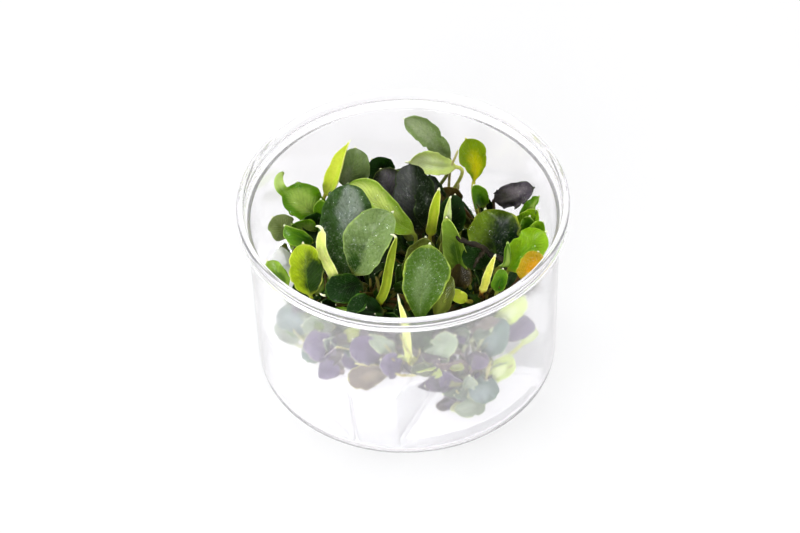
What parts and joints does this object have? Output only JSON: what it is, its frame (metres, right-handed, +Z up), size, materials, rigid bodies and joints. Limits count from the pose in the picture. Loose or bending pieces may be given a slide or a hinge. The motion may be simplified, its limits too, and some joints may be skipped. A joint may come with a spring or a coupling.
{
  "type": "tissue culture bucephalandra",
  "caption": "Open clear plastic tissue culture cup that holds broken clear gel and bucephalandra plantlets: creeping stems with stalked oval leaves in greens, yellow and dark purple.",
  "frame": {"origin": "on the table under the middle of the cup's foot", "axes": "+Z up along the cup's axis; -Y is the side that faces the picture's camera; +X to the right in the picture"},
  "size_m": [0.1, 0.1, 0.064],
  "materials": {
    "clear_plastic": "clear, glossy, thin moulded plastic with a faint cool tint",
    "gel": "clear wet gel with smooth cut faces",
    "stem": "dull brown-green creeping stem with leaf scars",
    "green_leaf": "waxy mid green leaf, wet, with a paler midrib and margin",
    "dark_leaf": "waxy very dark grey-green leaf with fine pale speckle",
    "bright_leaf": "waxy bright yellow-green leaf with a darker middle",
    "pale_leaf": "furled young leaf, pale yellow-green",
    "brown_leaf": "old olive-brown leaf",
    "purple_leaf": "dark purple-grey leaf",
    "orange_leaf": "yellow-orange dying leaf with green specks"
  },
  "bodies": {
    "root": {"cup": "clear_plastic", "gel_front": "gel", "gel_left": "gel", "gel_back": "gel", "gel_right_back": "gel", "gel_right_front": "gel", "gel_loose": "gel", "left_front_stem": "stem", "left_front_leaf_1": "bright_leaf", "left_front_leaf_2": "green_leaf", "left_front_leaf_3": "bright_leaf", "left_front_leaf_4": "pale_leaf", "left_back_stem": "stem", "left_back_leaf_1": "green_leaf", "left_back_leaf_2": "dark_leaf", "left_back_leaf_3": "pale_leaf", "left_back_leaf_4": "dark_leaf", "centre_stem": "stem", "centre_leaf_1": "dark_leaf", "centre_leaf_2": "green_leaf", "centre_leaf_3": "dark_leaf", "centre_leaf_4": "dark_leaf", "centre_leaf_5": "pale_leaf", "centre_leaf_6": "brown_leaf", "centre_back_stem": "stem", "centre_back_leaf_1": "dark_leaf", "centre_back_leaf_2": "green_leaf", "centre_back_leaf_3": "pale_leaf", "back_stem": "stem", "back_leaf_1": "green_leaf", "back_leaf_2": "bright_leaf", "back_leaf_3": "dark_leaf", "right_back_stem": "stem", "right_back_leaf_1": "bright_leaf", "right_back_leaf_2": "brown_leaf", "right_back_leaf_3": "green_leaf", "right_back_leaf_4": "purple_leaf", "right_back_leaf_5": "bright_leaf", "right_back_leaf_6": "green_leaf", "right_stem": "stem", "right_leaf_1": "green_leaf", "right_leaf_2": "bright_leaf", "right_leaf_3": "orange_leaf", "right_leaf_4": "green_leaf", "right_leaf_5": "pale_leaf", "front_stem": "stem", "front_leaf_1": "green_leaf", "front_leaf_2": "brown_leaf", "front_leaf_3": "pale_leaf", "front_leaf_4": "bright_leaf", "front_leaf_5": "brown_leaf", "right_low_stem": "stem", "right_low_leaf_1": "bright_leaf", "right_low_leaf_2": "green_leaf", "right_low_leaf_3": "bright_leaf", "right_low_leaf_4": "bright_leaf", "left_low_stem": "stem", "left_low_leaf_1": "green_leaf", "left_low_leaf_2": "purple_leaf", "left_low_leaf_3": "dark_leaf"}
  },
  "joints": []
}
